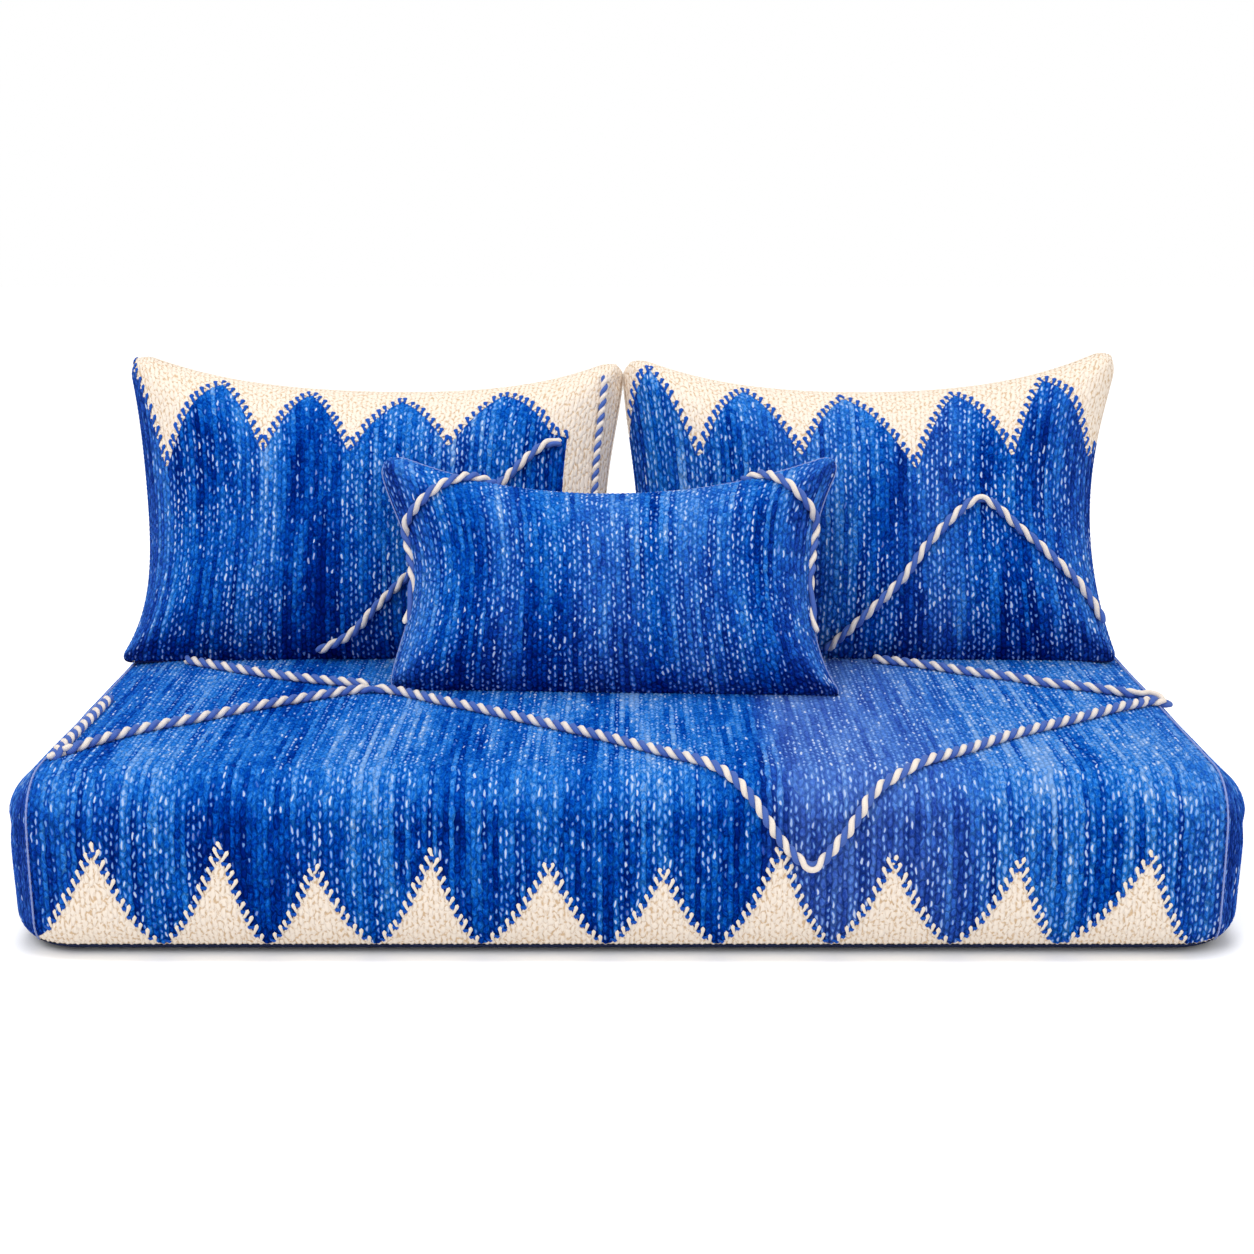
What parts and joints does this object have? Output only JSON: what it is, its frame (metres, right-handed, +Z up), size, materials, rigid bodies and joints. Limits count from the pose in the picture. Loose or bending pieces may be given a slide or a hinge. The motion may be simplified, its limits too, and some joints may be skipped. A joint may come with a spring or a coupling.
{
  "type": "floor seat",
  "caption": "Kilim-covered floor seat: thick mattress pouf with loose back cushions and a lumbar cushion, zipped covers and sewn-on twisted cords.",
  "frame": {"origin": "on the floor, at the centre of the seat's flat base", "axes": "+X along the seat, -Y towards the sitter's feet (the front), +Z up"},
  "size_m": [1.25, 0.7149, 0.527],
  "materials": {
    "kilim": "thick weft-faced kilim weave, blue with cream zigzags, matt wool",
    "back_cloth": "plain blue hand-woven back cloth",
    "base_canvas": "dark navy cotton canvas",
    "twisted_cord": "two-ply twisted wool cord, one ply blue and one cream",
    "zip_tape": "navy woven zip tape",
    "zip_coil": "navy nylon coil",
    "zip_metal": "navy lacquered zinc",
    "filling": "white filled cotton pad",
    "foam": "open-cell foam"
  },
  "bodies": {
    "seat": {"seat_base_panel": "base_canvas", "seat_cord_back": "twisted_cord", "seat_cord_lozenge": "twisted_cord", "seat_foam_core": "foam", "seat_rear_strip": "kilim", "seat_side_panel_left": "kilim", "seat_side_panel_right": "kilim", "seat_wadding": "filling", "seat_wrap_panel": "kilim", "seat_zip_coil_lower": "zip_coil", "seat_zip_coil_upper": "zip_coil", "seat_zip_stops": "zip_coil", "seat_zip_tape_lower": "zip_tape", "seat_zip_tape_upper": "zip_tape"},
    "seat_zip_slider_body": {"seat_zip_slider": "zip_metal"},
    "seat_zip_pull_body": {"seat_zip_pull": "zip_metal"},
    "back_cushion_left": {"back_left_cord_band": "twisted_cord", "back_left_cord_diagonal": "twisted_cord", "back_left_cover_back_lower": "back_cloth", "back_left_cover_back_upper": "back_cloth", "back_left_cover_front": "kilim", "back_left_insert": "filling", "back_left_zip_coil_lower": "zip_coil", "back_left_zip_coil_upper": "zip_coil", "back_left_zip_stops": "zip_coil", "back_left_zip_tape_lower": "zip_tape", "back_left_zip_tape_upper": "zip_tape"},
    "back_left_zip_slider_body": {"back_left_zip_slider": "zip_metal"},
    "back_left_zip_pull_body": {"back_left_zip_pull": "zip_metal"},
    "back_cushion_right": {"back_right_cord_chevron": "twisted_cord", "back_right_cover_back_lower": "back_cloth", "back_right_cover_back_upper": "back_cloth", "back_right_cover_front": "kilim", "back_right_insert": "filling", "back_right_zip_coil_lower": "zip_coil", "back_right_zip_coil_upper": "zip_coil", "back_right_zip_stops": "zip_coil", "back_right_zip_tape_lower": "zip_tape", "back_right_zip_tape_upper": "zip_tape"},
    "back_right_zip_slider_body": {"back_right_zip_slider": "zip_metal"},
    "back_right_zip_pull_body": {"back_right_zip_pull": "zip_metal"},
    "lumbar_cushion": {"lumbar_cord_left": "twisted_cord", "lumbar_cord_right": "twisted_cord", "lumbar_cover_back_lower": "back_cloth", "lumbar_cover_back_upper": "back_cloth", "lumbar_cover_front": "kilim", "lumbar_insert": "filling", "lumbar_zip_coil_lower": "zip_coil", "lumbar_zip_coil_upper": "zip_coil", "lumbar_zip_stops": "zip_coil", "lumbar_zip_tape_lower": "zip_tape", "lumbar_zip_tape_upper": "zip_tape"},
    "lumbar_zip_slider_body": {"lumbar_zip_slider": "zip_metal"},
    "lumbar_zip_pull_body": {"lumbar_zip_pull": "zip_metal"}
  },
  "joints": [
    {"name": "back_cushion_left_lifts_off", "type": "slide", "parent": "seat", "child": "back_cushion_left", "axis": [0, 0.5736, 0.8192], "range_m": [0, 0.3]},
    {"name": "back_cushion_right_lifts_off", "type": "slide", "parent": "seat", "child": "back_cushion_right", "axis": [0, 0.5736, 0.8192], "range_m": [0, 0.3]},
    {"name": "lumbar_cushion_lifts_off", "type": "slide", "parent": "seat", "child": "lumbar_cushion", "axis": [0, -0.6, 0.8], "range_m": [0, 0.35]},
    {"name": "seat_zip_slides", "type": "slide", "parent": "seat", "child": "seat_zip_slider_body", "axis": [1, 0, 0], "range_m": [0, 0.9454]},
    {"name": "seat_zip_pull_turns", "type": "hinge", "parent": "seat_zip_slider_body", "child": "seat_zip_pull_body", "pos_m": [-0.4727, 0.3541, 0.062], "axis": [0, 0, 1], "range_deg": [0, 180]},
    {"name": "back_left_zip_slides", "type": "slide", "parent": "back_cushion_left", "child": "back_left_zip_slider_body", "axis": [0.9994, 0.0349, 0], "range_m": [0, 0.2854]},
    {"name": "back_left_zip_pull_turns", "type": "hinge", "parent": "back_left_zip_slider_body", "child": "back_left_zip_pull_body", "pos_m": [-0.44773, 0.20437, 0.2319], "axis": [-0.0229, 0.6561, 0.7543], "range_deg": [0, 180]},
    {"name": "back_right_zip_slides", "type": "slide", "parent": "back_cushion_right", "child": "back_right_zip_slider_body", "axis": [0.9994, -0.0349, 0], "range_m": [0, 0.2854]},
    {"name": "back_right_zip_pull_turns", "type": "hinge", "parent": "back_right_zip_slider_body", "child": "back_right_zip_pull_body", "pos_m": [0.15751, 0.21433, 0.2319], "axis": [0.0229, 0.6561, 0.7543], "range_deg": [0, 180]},
    {"name": "lumbar_zip_slides", "type": "slide", "parent": "lumbar_cushion", "child": "lumbar_zip_slider_body", "axis": [0.9986, -0.0523, 0], "range_m": [0, 0.2354]},
    {"name": "lumbar_zip_pull_turns", "type": "hinge", "parent": "lumbar_zip_slider_body", "child": "lumbar_zip_pull_body", "pos_m": [-0.12565, 0.04844, 0.21176], "axis": [0.0381, 0.7263, 0.6863], "range_deg": [0, 180]}
  ]
}
